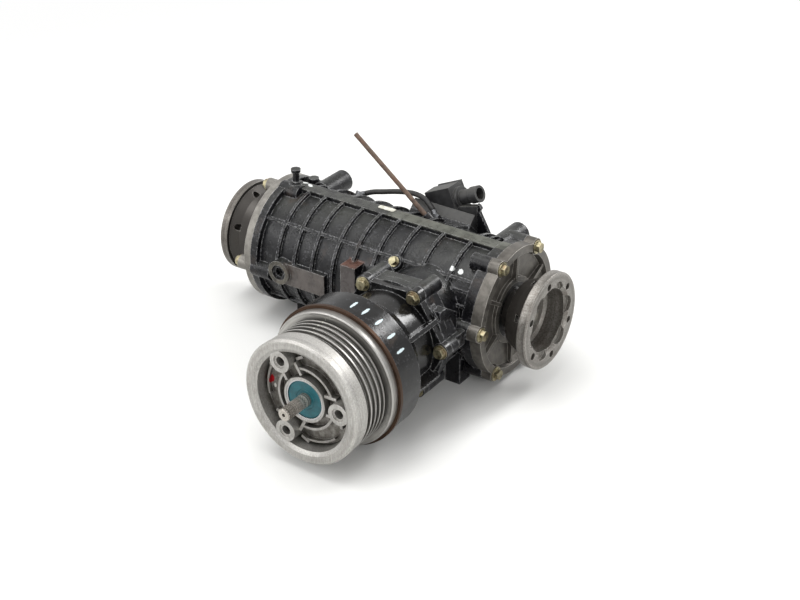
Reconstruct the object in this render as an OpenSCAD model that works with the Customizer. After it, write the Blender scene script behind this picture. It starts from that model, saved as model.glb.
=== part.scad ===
// Rear axle final drive with a finned viscous coupling on its input, and a
// sliding dog sleeve that locks the differential.
//
// Modules are written about the crossing of two axes: X is the axis of both
// output shafts, and the pinion and coupling point along -Y. placed() then
// moves each piece so that the origin is the middle of the right drive
// flange's mounting face. Z is up.

/* [Layout] */
// From the pinion axis to the face of the right drive flange
reach_right = 120; // [112:1:140]
// From the pinion axis to the joint of the right cover
joint_right = 66; // [60:1:70]
// From the pinion axis to the joint of the left cover
joint_left = 224; // [214:1:226]
// From the joint of the left cover to the face of the left drive flange
left_stand = 60; // [56:1:100]
// From the output axis to the joint of the nose
joint_nose = 112; // [108:1:118]
// From the output axis to the open front of the bell
bell_front = 208.5; // [200:0.5:216]
// Gap between the bell and the turning coupling
bell_gap = 1; // [0.6:0.1:3]

/* [Barrel casting] */
// Outer radius of the barrel
barrel_r = 66; // [64:0.5:70]
// Thickness of the casting's walls
wall = 6; // [4:0.5:6]
// Height of the ribs over the barrel
rib_h = 4; // [2:0.5:6]
// Width of the ribs round the barrel
rib_w = 3.5; // [2.5:0.5:6]
// Outer radius of the neck that carries the pinion
neck_r = 50; // [46:0.5:52]
// Lowest point of the feet under the casting
foot_drop = 79; // [77:0.5:84]

/* [Side covers] */
// How far the right cover's bolt circle stands outside the barrel
right_bolt_out = 4.7; // [3:0.1:8]
// Number of bolts of the right cover
right_bolts = 6; // [5:1:8]
// How far the left cover's bolt circle lies inside the barrel's surface
left_bolt_in = 1; // [0:0.5:2]
// Number of bolts of the left cover
left_bolts = 4; // [3:1:6]
// Radius of the bore for each shaft seal
seal_bore_r = 30.5; // [29:0.5:32]
// Thread diameter of the cover and nose bolts
bolt_d = 8; // [6:1:10]

/* [Drive flanges] */
// Radius of the drive flanges
flange_r = 53.35; // [51:0.05:56]
// Diameter of the bolt circle of the drive flanges
flange_pcd = 86; // [84:0.5:90]
// Number of bolt holes of a drive flange
flange_holes = 6; // [4:1:8]
// Diameter of the bolt holes of a drive flange
flange_hole_d = 8; // [6:0.5:9]
// Thickness of a drive flange's disc
flange_t = 10; // [8:0.5:13]
// Radius of the cup inside a drive flange
cup_r = 35; // [30:0.5:36]
// Depth of the cup inside a drive flange
cup_depth = 27; // [20:1:28]
// Radius of the output shafts
shaft_r = 15; // [13:0.5:15]

/* [Coupling] */
// Radius of the coupling's front band
drum_r = 66.85; // [64:0.05:72]
// Length of the front band
band_len = 20.5; // [18:0.5:26]
// Total length of the coupling drum
drum_len = 64.85; // [60:0.05:74]
// Number of cooling fins
fins = 4; // [3:1:6]
// Thickness of a cooling fin
fin_t = 1.8; // [1:0.1:2.4]
// Depth of the grooves between the fins
fin_depth = 4; // [2:0.5:6]
// Radius of the pitch circle of the three threaded bosses
boss_ring = 44.8; // [42:0.1:46]
// Diameter of the threaded bosses
boss_d = 23; // [19:0.5:25]
// Diameter of the thread in a boss
boss_hole_d = 10; // [8:1:12]
// Depth of the recess in the coupling's face
recess_depth = 17; // [12:0.5:19]
// Number of plates of each kind in the coupling
plates = 7; // [4:1:8]
// Radius of the splined centre spigot
spigot_r = 6.9; // [6:0.1:8]
// How far the spigot stands out of the coupling
spigot_out = 25; // [15:1:40]

/* [Gears] */
// Teeth of the ring gear
ring_teeth = 40; // [40:1:40]
// Teeth of the drive pinion
pinion_teeth = 11; // [11:1:11]
// Pitch radius of the ring gear at its outer edge
ring_pitch_r = 52; // [50:0.5:53]
// Face width of the ring gear and pinion
gear_face = 18; // [14:0.5:19]
// Teeth of a side gear
side_teeth = 16; // [16:2:16]
// Teeth of a spider gear
spider_teeth = 10; // [10:2:10]
// Pitch radius of a side gear
side_pitch_r = 19.2; // [18:0.1:19.5]

/* [Differential lock] */
// Travel of the lock sleeve
lock_travel = 5; // [4:0.5:5]
// Number of dogs
dogs = 6; // [4:1:8]

/* [Actuator and lines] */
// Tilt of the actuator on the barrel
actuator_tilt = 25; // [10:1:35]
// Length of the vent pipe
vent_len = 124; // [80:1:140]
// Outer radius of the vent pipe
vent_r = 2.6; // [2:0.1:4]
// Outer radius of the vacuum hose
hose_r = 3; // [2:0.1:3.5]

/* [Hidden] */

fit = 0.05;      // radial clearance of every running or sliding fit
join = 0.5;      // how far fused forms of one casting run into each other
draft_fn = 96;   // facets shown on round forms
$fn = draft_fn;
reach_left = joint_left + left_stand;

// Bevel teeth, as shares of the tooth module
tooth_tip = 0.72;
tooth_root = 1.15;
tooth_half = 0.66;
flank = 0.364;

// Bearings: [bore radius, outer radius, width]
carrier_bearing = [20, 34, 14];
head_bearing = [17.5, 36, 18];
tail_bearing = [15, 31, 16];
drum_bearing_size = [26, 36, 13];

// Right side, along X from the pinion axis
cover_rim_t = 13;
cover_ear_t = 12;
head_h = 6;
cover_web_t = 7;

// Places along the pinion axis, measured from the output axis
head_bearing_at = 61;
tail_bearing_at = joint_nose - tail_bearing[2];
nose_flange_t = 9;
band_back = bell_front - 33;
drum_back = bell_front + bell_gap + 2.5;
drum_front = drum_back + drum_len - 2.5;
cover_seam = drum_front - band_len;
recess_floor = drum_front - recess_depth;
spigot_tip = drum_front + spigot_out;
coupling_bore_r = drum_r - fin_depth - 4.5;

// ---------------------------------------------------------------- helpers

module placed() translate([-reach_right, 0, 0]) children();

// Local Z turned to +X, -X, -Y and +Y
module to_right() rotate([0, 90, 0]) children();
module to_left() rotate([0, -90, 0]) children();
module to_front() rotate([90, 0, 0]) children();
module to_back() rotate([-90, 0, 0]) children();

// Round solid about X from x0 to x1
module rod_x(x0, x1, r) translate([x0, 0, 0]) to_right() cylinder(h = x1 - x0, r = r);

// Round solid about Y, from depth d0 to d1 in front of the output axis
module rod_front(d0, d1, r) translate([0, -d0, 0]) to_front() cylinder(h = d1 - d0, r = r);

// Puts copies about X, at ring radius r, the first at angle a from +Y towards +Z
module ring_x(n, r, a = 0)
    for (i = [0 : n - 1]) rotate([a + 360 * i / n, 0, 0]) translate([0, r, 0]) children();

// Puts copies about Y, at ring radius r, the first at angle a from +X towards +Z
module ring_y(n, r, a = 0)
    for (i = [0 : n - 1]) rotate([0, -a - 360 * i / n, 0]) translate([r, 0, 0]) children();

// Revolved form about X: points are [radius, x]
module turned_x(points) to_right() rotate_extrude() polygon(points);

// Revolved form about -Y: points are [radius, depth]
module turned_front(points) to_front() rotate_extrude() polygon(points);

// Ring about the local Z axis
module ring(r_in, r_out, h)
    difference() {
        cylinder(h = h, r = r_out);
        translate([0, 0, -1]) cylinder(h = h + 2, r = r_in);
    }

// Rolling bearing shown as its two rings and the cage between them
module bearing(size) {
    r_in = size[0] + fit;
    r_out = size[1] - fit;
    band = (r_out - r_in) / 3;
    rotate_extrude() polygon([
        [r_in, 0], [r_in + band, 0], [r_in + band, 1], [r_out - band, 1],
        [r_out - band, 0], [r_out, 0], [r_out, size[2]], [r_out - band, size[2]],
        [r_out - band, size[2] - 1], [r_in + band, size[2] - 1],
        [r_in + band, size[2]], [r_in, size[2]]]);
}

// Flanged hexagon bolt: seat of the head at z = 0, shank towards -Z
module bolt(d, shank) {
    cylinder(h = 1.4, r = d * 0.98);
    translate([0, 0, 1]) intersection() {
        cylinder(h = head_h - 1, r = d * 0.75, $fn = 6);
        cylinder(h = head_h - 1, r1 = d * 0.86, r2 = d * 0.68);
    }
    translate([0, 0, -shank]) cylinder(h = shank + 0.5, r = d / 2 - fit);
}

// Teeth of a straight bevel gear whose apex is the origin and whose axis is
// +Z. Each tooth is a bar that narrows towards the apex.
module bevel_teeth(n, pitch_r, cone, face, phase = 0) {
    apex = pitch_r / sin(cone);
    size = 2 * pitch_r / n;
    tip = tooth_tip * size;
    root = tooth_root * size + 0.3;
    half = tooth_half * size;
    for (i = [0 : n - 1])
        rotate([0, 0, phase + 360 * i / n])
        translate([pitch_r, 0, apex * cos(cone)])
        rotate([0, cone, 0]) rotate([180, 0, 0])
        linear_extrude(height = face, scale = (apex - face) / apex)
        polygon([
            [-root, -half - flank * root], [tip, -half + flank * tip],
            [tip, half - flank * tip], [-root, half + flank * root]]);
}

// Point of a bevel gear's root cone, at a share of the way from the apex
function root_point(n, pitch_r, cone, share = 1) =
    let (depth = tooth_root * 2 * pitch_r / n)
    [share * (pitch_r - depth * cos(cone)), share * (pitch_r / tan(cone) + depth * sin(cone))];

// ----------------------------------------------------------- main casting

right_bolt_phase = -3;
left_bolt_phase = 98.5;
nose_bolt_ring = 62;
nose_bolt_phase = 2.6;
nose_bolts_n = 6;
nose_flange_r = 67;
chamber_r = barrel_r - wall;
right_bolt_ring = barrel_r + right_bolt_out;
left_bolt_ring = barrel_r - left_bolt_in;
right_flange_out = 6;    // end flanges of the barrel, past its surface
left_flange_out = 7;
chamber_left = -44;
bulkhead_left = -64;
rear_mount_y = 62;
rear_mount_z = 56;
rear_mount_r = 12.5;
rear_mount_right_x = 43;
rear_mount_left_x = -joint_left + 32;
rear_thread_r = 5;
rear_thread_len = 18;
plug_x = -joint_left + 42;
plug_z = -1;
plug_face_y = -barrel_r - 10;
plug_r = 9;
fork_boss_r = 9;
rod_ring = chamber_r - fork_boss_r - 5;
rod_r = 5;
rod_angle = 45;
rod_left = -98;
rod_right = -24;
finger_x = -36;
finger_w = 8;
seat_r = barrel_r + rib_h + 1;
seat_x = -84;
seat_len = 78;
seat_w = 28;
breather_x = -joint_left + 16;
breather_y = -6;
breather_z = barrel_r + 9;
drain_x = -60;
clip_x = -40;
clip_angle = 140;
vent_base = [-47, barrel_r * 7 / 22, barrel_r - 2.5];
vent_lean = 51.8;
nipple_r = 4.5;
nipple_h = 7;
elbow_h = 4;
spout_len = 8;
hose_gap = 0.4;
// Hose nipples: [place along the barrel, angle from +Y towards +Z, lean of the spout]
nipple_at = [[-joint_left + 66, 50, 66], [-46, 62, -42]];

// Ribs round the barrel, by place along it
rib_places = [
    -joint_left + 35, -joint_left + 58, -joint_left + 82, -joint_left + 109, -91, -66, -39.5, -9, 25];
// Ribs along the barrel, by angle from +Y towards +Z
long_rib_angles = [20, 136, 225, 315];

// The forms at a joint run past it and are faced off together
module barrel_form() {
    rod_x(-joint_left - 1, joint_right + 1, barrel_r);
    // ribs round the barrel
    for (x = rib_places)
        rod_x(x - rib_w / 2, x + rib_w / 2, barrel_r + rib_h);
    // ribs along the barrel: front upper, front lower, rear upper, rear lower
    for (a = long_rib_angles)
        rotate([a, 0, 0])
        translate([-joint_left + 4, barrel_r - 4, -rib_w / 2])
        cube([joint_left + joint_right - 8, 3.4 + rib_h, rib_w]);
    // flat spine on top
    translate([-joint_left + 4, -8, barrel_r - 6])
        cube([joint_left + joint_right - 8, 16, 6.8 + rib_h]);
    // end flanges and their bolt bosses
    rod_x(joint_right - 12, joint_right + 2, barrel_r + right_flange_out);
    ring_x(right_bolts, right_bolt_ring, right_bolt_phase)
        translate([joint_right - 22, 0, 0]) to_right() cylinder(h = 25, r = 9.5);
    rod_x(-joint_left - 2, -joint_left + 9, barrel_r + left_flange_out);
    ring_x(left_bolts, left_bolt_ring, left_bolt_phase)
        translate([-joint_left - 3, 0, 0]) to_right() cylinder(h = 29, r = 10.5);
}

// Corners of the nose joint, one beside each bolt
function nose_outline(r) = [
    for (i = [0 : nose_bolts_n - 1])
    let (a = nose_bolt_phase + 360 * i / nose_bolts_n) r * [cos(a), sin(a)]];

module neck_form() {
    rod_front(20, joint_nose + 1, neck_r);
    rod_front(joint_nose - 10, joint_nose + 2, neck_r + 10);
    ring_y(nose_bolts_n, nose_bolt_ring, nose_bolt_phase)
        translate([0, -joint_nose + 30, 0]) to_front() cylinder(h = 33, r = 9);
    // straight-sided flange between the bosses
    translate([0, -joint_nose + 22, 0]) to_front()
        linear_extrude(height = 24) polygon(nose_outline(nose_flange_r));
    // block on the right of the neck
    translate([40, 0, 0]) to_right()
        linear_extrude(height = 13) polygon([
            [-40, -joint_nose + 3], [-40, -98], [-27, -78], [-7, -78], [-7, -joint_nose + 3]]);
    // webs from the barrel to the nose joint
    for (a = [145, 215, 325])
        rotate([0, -a, 0])
        translate([neck_r - 10, -joint_nose + 3, -3])
        cube([16.5, joint_nose - 40, 6]);
}

// Bar of a ring, standing on its flat side, over an angle about Z
module arc_bar(r_in, r_out, h, a)
    rotate_extrude(angle = a) translate([r_in, 0]) square([r_out - r_in, h]);

module mount_forms() {
    // rear mount bosses
    for (x = [rear_mount_left_x, rear_mount_right_x])
        translate([x, 20, rear_mount_z]) to_back() cylinder(h = rear_mount_y - 20, r = rear_mount_r);
    // feet
    translate([24, -52, -foot_drop]) cube([18, 20, foot_drop - 40]);
    translate([24, 20, -foot_drop]) cube([18, 20, foot_drop - 40]);
    translate([-joint_left + 24, -22, -foot_drop]) cube([22, 44, foot_drop - 40]);
    // filler boss and its machined plate
    translate([plug_x, plug_face_y + 26, plug_z]) to_front() cylinder(h = 26, r = 14);
    translate([plug_x - 2, plug_face_y + 4, -15]) cube([62, 20, 26]);
    // square pad beside the neck
    translate([-98, -barrel_r - 8, 0]) cube([19, 30, 34]);
    // drain boss under the barrel
    translate([drain_x, 0, -foot_drop + 5]) cylinder(h = 20, r = 13);
    // breather boss
    translate([breather_x, breather_y, barrel_r - 10]) cylinder(h = breather_z - barrel_r + 10, r = 8);
    // vent boss
    translate(vent_base) rotate([0, -vent_lean, 0]) translate([0, 0, -8]) cylinder(h = 14, r = 5.5);
    // cast lugs behind the spine
    translate([-joint_left + 18, 24, barrel_r - 16]) cylinder(h = 20, r = 6);
    translate([-joint_left + 30, 26, barrel_r - 16]) cylinder(h = 17, r = 5);
    // short ribs between the neck and the right joint
    for (a = [146, 159]) rotate([a, 0, 0])
        translate([25, barrel_r - 4, -1.5]) cube([joint_right - 30, 7, 3]);
    for (x = [33.5, 42]) translate([x, 0, 0]) rotate([135, 0, 0]) to_right()
        arc_bar(barrel_r - 3, barrel_r + 3, 3, 32);
    // seat of the actuator
    rotate([rod_angle, 0, 0])
        translate([seat_x, barrel_r - 8, -seat_w / 2]) cube([seat_len, seat_r - barrel_r + 8, seat_w]);
    // seat of the clip bolt
    rotate([clip_angle, 0, 0]) translate([clip_x, barrel_r - 5, 0]) to_back() cylinder(h = 12, r = 8);
}

// Where the two actuator screws go: local Z points outwards from the seat's floor
module actuator_screw_places()
    for (x = [seat_x + 6, seat_x + seat_len - 6])
        rotate([rod_angle, 0, 0]) translate([x, seat_r - 8, 0]) to_back() children();

module housing_voids() {
    // faced joints of the two covers and the nose
    for (x = [joint_right, -joint_left - 10]) translate([x, -100, -100]) cube([10, 200, 200]);
    translate([-100, -joint_nose - 10, -100]) cube([200, 10, 200]);
    // gear chamber, open to the right cover
    rod_x(chamber_left, joint_right + 4, chamber_r);
    // lock and shaft chamber, open to the left cover
    rod_x(-joint_left - 4, bulkhead_left, chamber_r);
    // carrier bearing seat in the bulkhead
    rod_x(bulkhead_left - 1, chamber_left + 1, carrier_bearing[1]);
    // neck: pinion head, its two bearings and the space between them
    rod_front(30, head_bearing_at + 1, 30);
    rod_front(head_bearing_at, head_bearing_at + head_bearing[2], head_bearing[1]);
    rod_front(head_bearing_at + 1, joint_nose + 1, 28);
    rod_front(tail_bearing_at, joint_nose + 1, tail_bearing[1]);
    // lock rod
    ring_x(1, rod_ring, rod_angle) rod_x(bulkhead_left - 1, chamber_left + 1, rod_r + fit);
    // slot for the finger that drives the lock rod
    rotate([rod_angle, 0, 0])
        translate([finger_x - 1, chamber_r - 12, -finger_w / 2 - 1])
        cube([finger_w + lock_travel + 2, 40, finger_w + 2]);
    // screws of the actuator
    actuator_screw_places() cylinder(h = 30, r = 3);
    // threaded holes
    ring_x(right_bolts, right_bolt_ring, right_bolt_phase)
        translate([joint_right - 18, 0, 0]) to_right() cylinder(h = 20, r = bolt_d / 2);
    ring_x(left_bolts, left_bolt_ring, left_bolt_phase)
        translate([-joint_left - 1, 0, 0]) to_right() cylinder(h = 20, r = bolt_d / 2);
    ring_y(nose_bolts_n, nose_bolt_ring, nose_bolt_phase)
        translate([0, -joint_nose + 20, 0]) to_front() cylinder(h = 22, r = bolt_d / 2);
    for (x = [rear_mount_left_x, rear_mount_right_x])
        translate([x, rear_mount_y - rear_thread_len, rear_mount_z])
        to_back() cylinder(h = rear_thread_len + 1, r = rear_thread_r);
    translate([plug_x, plug_face_y + 18, plug_z]) to_front() cylinder(h = 30, r = plug_r);
    translate([drain_x, 0, -foot_drop]) cylinder(h = 25, r = plug_r);
    translate([breather_x, breather_y, breather_z - 5]) cylinder(h = 10, r = 3);
    translate(vent_base) rotate([0, -vent_lean, 0]) translate([0, 0, -3]) cylinder(h = 20, r = vent_r + fit);
    rotate([clip_angle, 0, 0]) translate([clip_x, barrel_r - 4, 0]) to_back() cylinder(h = 14, r = 3);
}

module main_housing()
    placed() color([0.22, 0.22, 0.23])
    difference() {
        union() {
            barrel_form();
            neck_form();
            mount_forms();
        }
        housing_voids();
    }

// ------------------------------------------------------------ side covers

right_snout = 9;
left_rim = 9.5;
left_ear = 19.5;
left_snout = 23;
left_bearing = [15, 27, 13];
seal_len = 8;

// Six pockets lie between the ribs of the right cover
cover_r = barrel_r + right_flange_out + 0.5;

module right_cover()
    placed() color([0.43, 0.41, 0.38])
    difference() {
        union() {
            turned_x([
                [28, joint_right - 3.5], [carrier_bearing[1], joint_right - 3.5],
                [carrier_bearing[1], joint_right - 17], [41, joint_right - 17], [41, joint_right],
                [chamber_r - 6, joint_right], [chamber_r - 6, joint_right - 6],
                [cover_r, joint_right - 6], [cover_r, joint_right + cover_rim_t],
                [cover_r - 8.5, joint_right + cover_rim_t], [cover_r - 10.5, joint_right + cover_web_t],
                [37, joint_right + cover_web_t - 2],
                [37, joint_right + right_snout], [28, joint_right + right_snout]]);
            ring_x(right_bolts, right_bolt_ring, right_bolt_phase)
                translate([joint_right - 2, 0, 0]) to_right() cylinder(h = cover_ear_t + 3, r = 9.2);
            for (i = [0 : right_bolts - 1])
                rotate([right_bolt_phase + 360 * (i + 0.5) / right_bolts, 0, 0])
                translate([joint_right + 1, 35, -2]) cube([right_snout + 1, 29, 4]);
        }
        // spigot and joint face, turned in one cut
        turned_x([
            [chamber_r - fit, joint_right - 8], [90, joint_right - 8],
            [90, joint_right], [chamber_r - fit, joint_right]]);
        translate([joint_right, 0, 0]) to_right() cylinder(h = right_snout + 1, r = seal_bore_r);
        ring_x(right_bolts, right_bolt_ring, right_bolt_phase) {
            translate([joint_right - 1, 0, 0]) to_right() cylinder(h = 30, r = bolt_d / 2 + 0.4);
            // faced seat of the head
            translate([joint_right + cover_ear_t, 0, 0]) to_right() cylinder(h = 10, r = 9.7);
        }
    }

left_r = barrel_r + left_flange_out;

module left_cover()
    placed() mirror([1, 0, 0]) color([0.66, 0.64, 0.60])
    difference() {
        union() {
            turned_x([
                [24, joint_left], [chamber_r - 6, joint_left], [chamber_r - 6, joint_left - 6],
                [chamber_r - fit, joint_left - 6], [chamber_r - fit, joint_left],
                [left_r, joint_left], [left_r, joint_left + left_rim - 1], [left_r - 1, joint_left + left_rim],
                [left_r - 9, joint_left + left_rim], [left_r - 13, joint_left + 8], [40, joint_left + 8],
                [37, joint_left + left_snout], [24, joint_left + left_snout]]);
            ring_x(left_bolts, left_bolt_ring, left_bolt_phase)
                translate([joint_left, 0, 0]) to_right() cylinder(h = left_ear, r = 8.2);
        }
        translate([joint_left - 1, 0, 0]) to_right() cylinder(h = left_bearing[2] + 1, r = left_bearing[1]);
        translate([joint_left + left_snout - seal_len - 1, 0, 0]) to_right()
            cylinder(h = seal_len + 2, r = seal_bore_r);
        ring_x(left_bolts, left_bolt_ring, left_bolt_phase)
            translate([joint_left - 1, 0, 0]) to_right() cylinder(h = 40, r = bolt_d / 2 + 0.4);
    }

module right_cover_bolts()
    placed() color([0.67, 0.6, 0.4])
    ring_x(right_bolts, right_bolt_ring, right_bolt_phase)
        translate([joint_right + cover_ear_t, 0, 0]) to_right() bolt(bolt_d, cover_ear_t + 16);

module left_cover_bolts()
    placed() mirror([1, 0, 0]) color([0.67, 0.6, 0.4])
    ring_x(left_bolts, left_bolt_ring, left_bolt_phase)
        translate([joint_left + left_ear, 0, 0]) to_right() bolt(bolt_d, left_ear + 14);

module shaft_seal()
    rotate_extrude() polygon([
        [hub_r + fit, 0], [seal_bore_r - fit, 0], [seal_bore_r - fit, seal_len],
        [hub_r + 4, seal_len], [hub_r + 3, seal_len - 2], [hub_r + fit, seal_len - 1]]);

module right_shaft_seal()
    placed() color([0.1, 0.1, 0.1])
    translate([joint_right + 0.5, 0, 0]) to_right() shaft_seal();

module left_shaft_seal()
    placed() mirror([1, 0, 0]) color([0.1, 0.1, 0.1])
    translate([joint_left + left_snout - seal_len - 0.5, 0, 0]) to_right() shaft_seal();

module right_carrier_bearing()
    placed() color([0.75, 0.75, 0.77])
    translate([joint_right - 3.5 - carrier_bearing[2], 0, 0]) to_right() bearing(carrier_bearing);

module left_carrier_bearing()
    placed() color([0.75, 0.75, 0.77])
    translate([bulkhead_left + 3, 0, 0]) to_right() bearing(carrier_bearing);

module left_shaft_bearing()
    placed() mirror([1, 0, 0]) color([0.75, 0.75, 0.77])
    translate([joint_left, 0, 0]) to_right() bearing(left_bearing);

// ------------------------------------------------------------------- nose

bell_r = 75;
snout_r = drum_bearing_size[0];
web_front = band_back + 8.5;

module nose_housing()
    placed() color([0.2, 0.2, 0.21])
    difference() {
        union() {
            turned_front([
                [neck_r - 4, joint_nose - 2], [neck_r + 2, joint_nose - 2],
                [neck_r + 4, band_back - 26], [bell_r - 9, band_back - 9],
                [bell_r - 4, band_back], [bell_r - 1, band_back], [bell_r, band_back + 1],
                [bell_r, bell_front], [bell_r - 4, bell_front], [bell_r - 4, web_front],
                [snout_r - fit, web_front], [snout_r - fit, bell_front - 3.5], [18, bell_front - 3.5],
                [18, web_front + 3], [13, web_front + 3], [13, web_front - 6],
                [bell_r - 13, web_front - 6], [bell_r - 15, band_back - 5],
                [neck_r - 1, band_back - 22], [neck_r - 4, joint_nose + 10]]);
            // flange and bosses run past the joint and are faced off together
            translate([0, -joint_nose + 4, 0]) to_front() linear_extrude(height = nose_flange_t + 3)
                polygon(nose_outline(nose_flange_r));
            ring_y(nose_bolts_n, nose_bolt_ring, nose_bolt_phase)
                translate([0, -joint_nose + 3, 0]) to_front() cylinder(h = nose_flange_t + 3, r = 9);
            // gussets under the bell, none on top
            for (i = [0, 2, 3, 4, 5])
                rotate([0, -nose_bolt_phase - 360 * (i + 0.5) / nose_bolts_n, 0])
                translate([neck_r + 1, -band_back - 4, -2.5])
                cube([bell_r - neck_r - 11, band_back - joint_nose, 5]);
        }
        translate([-100, -joint_nose, -100]) cube([200, 10, 200]);
        // bore of the neck
        translate([0, -joint_nose - 10, 0]) to_back() cylinder(h = 16, r = neck_r - 4);
        ring_y(nose_bolts_n, nose_bolt_ring, nose_bolt_phase)
            translate([0, -joint_nose + 1, 0]) to_front() cylinder(h = nose_flange_t + 2, r = bolt_d / 2 + 0.4);
    }

module nose_bolts()
    placed() color([0.67, 0.6, 0.4])
    ring_y(nose_bolts_n, nose_bolt_ring, nose_bolt_phase)
        translate([0, -joint_nose - nose_flange_t, 0]) to_front() bolt(bolt_d, nose_flange_t + 16);

module pinion_head_bearing()
    placed() color([0.75, 0.75, 0.77])
    translate([0, -head_bearing_at, 0]) to_front() bearing(head_bearing);

module pinion_tail_bearing()
    placed() color([0.75, 0.75, 0.77])
    translate([0, -tail_bearing_at, 0]) to_front() bearing(tail_bearing);

module pinion_seal()
    placed() color([0.1, 0.1, 0.1])
    translate([0, -web_front - 3.5, 0]) to_front() ring(input_r + fit, 18 - fit, 8);

module drum_bearing()
    placed() color([0.75, 0.75, 0.77])
    translate([0, -bell_front + 17, 0]) to_front() bearing(drum_bearing_size);

// --------------------------------------------------- plugs, lines, actuator

module hex_plug(r, len)
    difference() {
        cylinder(h = len, r = r - fit);
        translate([0, 0, len - 6]) cylinder(h = 8, r = 5.8, $fn = 6);
    }

module fill_plug()
    placed() color([0.3, 0.31, 0.27])
    translate([plug_x, plug_face_y + 17, plug_z]) to_front() hex_plug(plug_r, 15);

module drain_plug()
    placed() color([0.3, 0.31, 0.27])
    translate([drain_x, 0, -foot_drop + 22]) rotate([180, 0, 0]) hex_plug(plug_r, 15);

module breather_cap()
    placed() color([0.2, 0.21, 0.18])
    translate([breather_x, breather_y, breather_z]) {
        translate([0, 0, -4]) cylinder(h = 5, r = 3 - fit);
        cylinder(h = 2, r = 5);
        cylinder(h = 14, r = 3.7);
        translate([0, 0, 13]) cylinder(h = 4, r1 = 5.2, r2 = 5.7);
    }

module vent_pipe()
    placed() color([0.45, 0.35, 0.29])
    translate(vent_base) rotate([0, -vent_lean, 0]) translate([0, 0, -2]) ring(1.5, vent_r, vent_len + 2);

// Nipples stand on the barrel: local Z points outwards
module nipple_place(i)
    rotate([nipple_at[i][1], 0, 0]) translate([nipple_at[i][0], barrel_r + 0.05, 0]) to_back() children();

module hose_nipples()
    placed() color([0.6, 0.58, 0.54])
    for (i = [0, 1]) nipple_place(i) {
        cylinder(h = nipple_h, r = nipple_r);
        translate([0, 0, elbow_h]) rotate([0, nipple_at[i][2], 0]) cylinder(h = spout_len, r = hose_r);
    }

// End of the hose, a gap off the end of a nipple's spout
function hose_end(i) =
    let (lean = nipple_at[i][2], s = spout_len + hose_gap,
        r = barrel_r + 0.05 + elbow_h + s * cos(lean))
    [nipple_at[i][0] + s * sin(lean), r * cos(nipple_at[i][1]), r * sin(nipple_at[i][1])];

// The hose's arch, from the nipple near the gears, as laid on this barrel with the nipples this far apart
laid_barrel_r = 66;
laid_span = 112;
hose_arch = [
    [-95.5, 49.5, 59.5], [-83, 51, 62.5], [-70, 50.5, 66.5], [-58, 49.5, 70],
    [-46, 47.5, 73], [-34, 45, 75], [-22, 41.5, 75], [-13, 38, 72]];
hose_span = (nipple_at[1][0] - nipple_at[0][0]) / laid_span;
hose_swell = barrel_r / laid_barrel_r;
hose_route = concat(
    [hose_end(0)],
    [for (p = hose_arch) [nipple_at[1][0] + p[0] * hose_span, p[1] * hose_swell, p[2] * hose_swell]],
    [hose_end(1)]);
hose_sides = 10;
hose_steps = 2;

// Point on the smooth curve through the route, at a share t past point i
function bend(a, b, c, d, t) =
    0.5 * (2 * b + (c - a) * t + (2 * a - 5 * b + 4 * c - d) * t * t
    + (3 * b - a - 3 * c + d) * t * t * t);
function route_at(p, i, t) =
    bend(p[max(i - 1, 0)], p[i], p[i + 1], p[min(i + 2, len(p) - 1)], t);
function route_curve(p, steps) = [
    for (i = [0 : len(p) - 2], k = [0 : steps - 1]) route_at(p, i, k / steps), p[len(p) - 1]];
function unit(v) = v / norm(v);

// Tube swept along a list of points, closed at both ends
module swept_tube(p, r, sides) {
    n = len(p);
    along = [for (i = [0 : n - 1]) unit(p[min(i + 1, n - 1)] - p[max(i - 1, 0)])];
    side = [for (i = [0 : n - 1]) unit(cross(along[i], [0, 1, 0.2]))];
    points = [for (i = [0 : n - 1], k = [0 : sides - 1])
        p[i] + r * (cos(360 * k / sides) * side[i]
        + sin(360 * k / sides) * cross(along[i], side[i]))];
    walls = [for (i = [0 : n - 2], k = [0 : sides - 1])
        [i * sides + k, i * sides + (k + 1) % sides,
        (i + 1) * sides + (k + 1) % sides, (i + 1) * sides + k]];
    ends = [[for (k = [sides - 1 : -1 : 0]) k], [for (k = [0 : sides - 1]) (n - 1) * sides + k]];
    polyhedron(points, concat(walls, ends));
}

module vacuum_hose()
    placed() color([0.11, 0.11, 0.12])
    swept_tube(route_curve(hose_route, hose_steps), hose_r, hose_sides);

actuator_top = [-42, 50, barrel_r + 25];
actuator_size = [34, 28, 46];
socket_at = 17;
socket_r = 8.2;
socket_len = 28;
socket_depth = 14;
socket_lip = 9;
base_t = 12;

// Frame of the tilted case: origin at its upper right front corner
module actuator_frame() translate(actuator_top) rotate([0, -actuator_tilt, 0]) children();

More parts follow.
